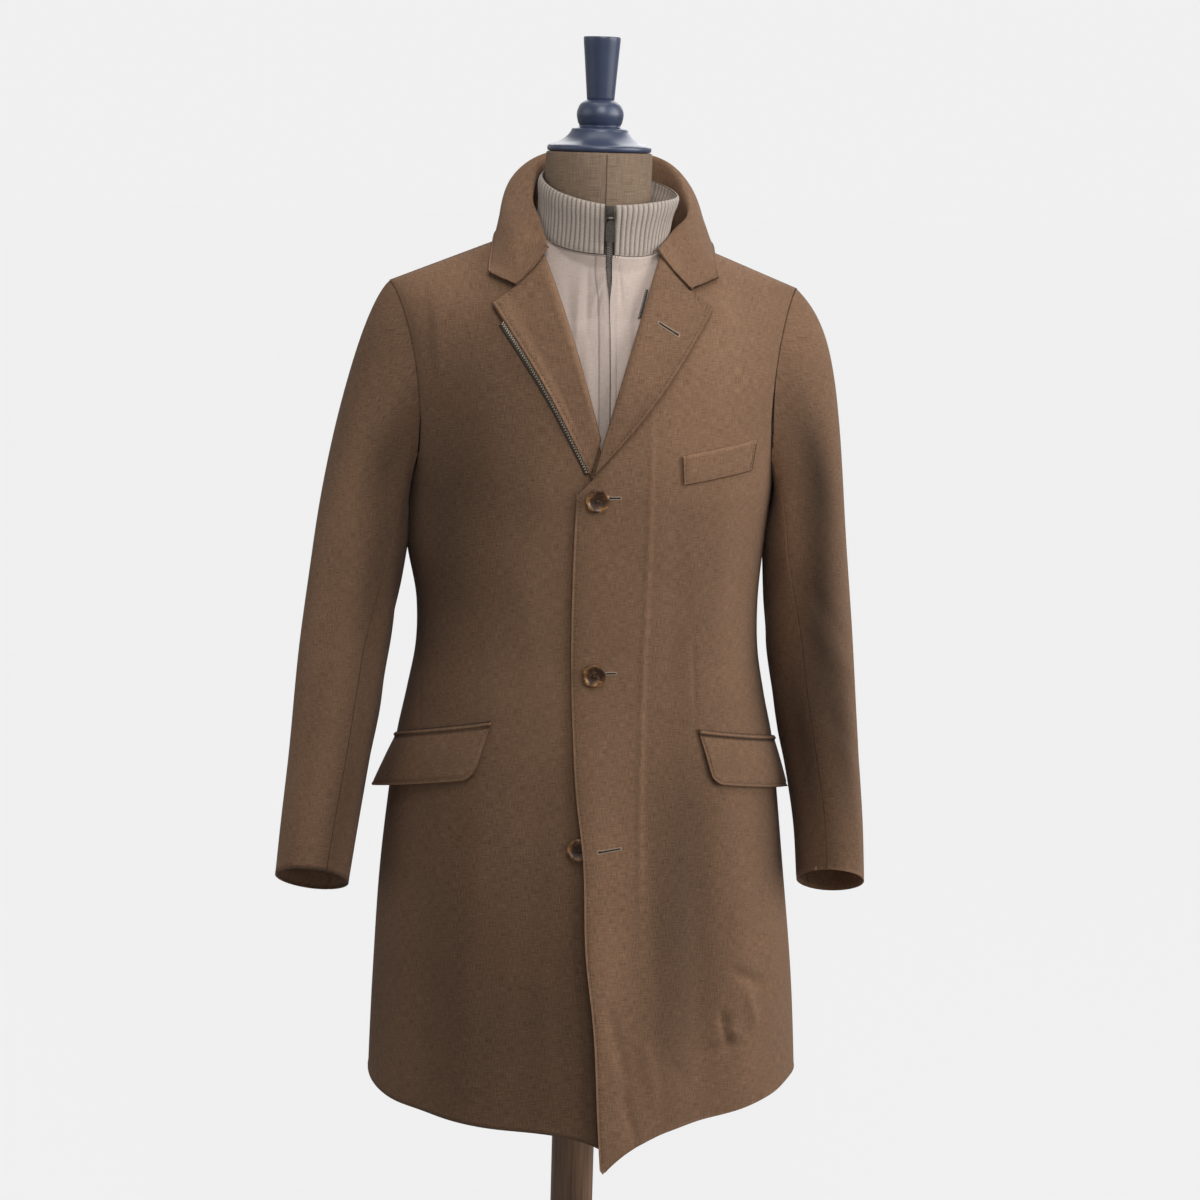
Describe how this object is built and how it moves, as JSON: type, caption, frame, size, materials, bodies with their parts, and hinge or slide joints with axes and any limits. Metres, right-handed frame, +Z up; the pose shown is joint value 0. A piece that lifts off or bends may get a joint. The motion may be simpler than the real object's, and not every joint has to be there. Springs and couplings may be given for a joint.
{
  "type": "coat on dress form",
  "caption": "Knee-length single-breasted coat with notched lapels, flap pockets and a zip-in bib with ribbed collar, on a limbless dress form with a pole and round base.",
  "frame": {"origin": "centre of the base's underside, on the floor under the pole", "axes": "+Z up along the pole; the coat faces -Y; the wearer's left is +X"},
  "size_m": [0.6565, 0.42, 1.713],
  "materials": {
    "coat_cloth": "brown wool with a fine mottled weave",
    "bib_cloth": "smooth pinkish-beige cotton",
    "rib_knit": "stone rib knit",
    "button_horn": "polished tortoiseshell",
    "silver_zip": "silver metal teeth",
    "dark_zip": "gunmetal teeth and slider",
    "form_linen": "natural linen cover",
    "cap_paint": "turned wood, satin slate-blue paint",
    "stand_wood": "stained and varnished wood"
  },
  "bodies": {
    "coat_and_form": {"front_left": "coat_cloth", "front_right": "coat_cloth", "back_left": "coat_cloth", "back_right": "coat_cloth", "top_sleeve_left": "coat_cloth", "top_sleeve_right": "coat_cloth", "under_sleeve_left": "coat_cloth", "under_sleeve_right": "coat_cloth", "collar": "coat_cloth", "lapel_left": "coat_cloth", "lapel_right": "coat_cloth", "chest_welt": "coat_cloth", "flap_left": "coat_cloth", "flap_right": "coat_cloth", "jet_left": "coat_cloth", "jet_right": "coat_cloth", "button_1": "button_horn", "button_2": "button_horn", "button_3": "button_horn", "lapel_zip": "silver_zip", "bib_left": "bib_cloth", "bib_right": "bib_cloth", "rib_collar": "rib_knit", "bib_zip": "dark_zip", "bib_side_zip": "dark_zip", "zip_slider": "dark_zip", "form_torso": "form_linen", "neck_cap": "cap_paint", "stand_pole": "stand_wood", "stand_base": "stand_wood"},
    "pull_tab": {"zip_pull": "dark_zip"}
  },
  "joints": [
    {"name": "pull_tab_hinge", "type": "hinge", "parent": "coat_and_form", "child": "pull_tab", "pos_m": [0.0055, -0.0846, 1.529], "axis": [-1, 0, 0], "range_deg": [-6, 120]}
  ]
}
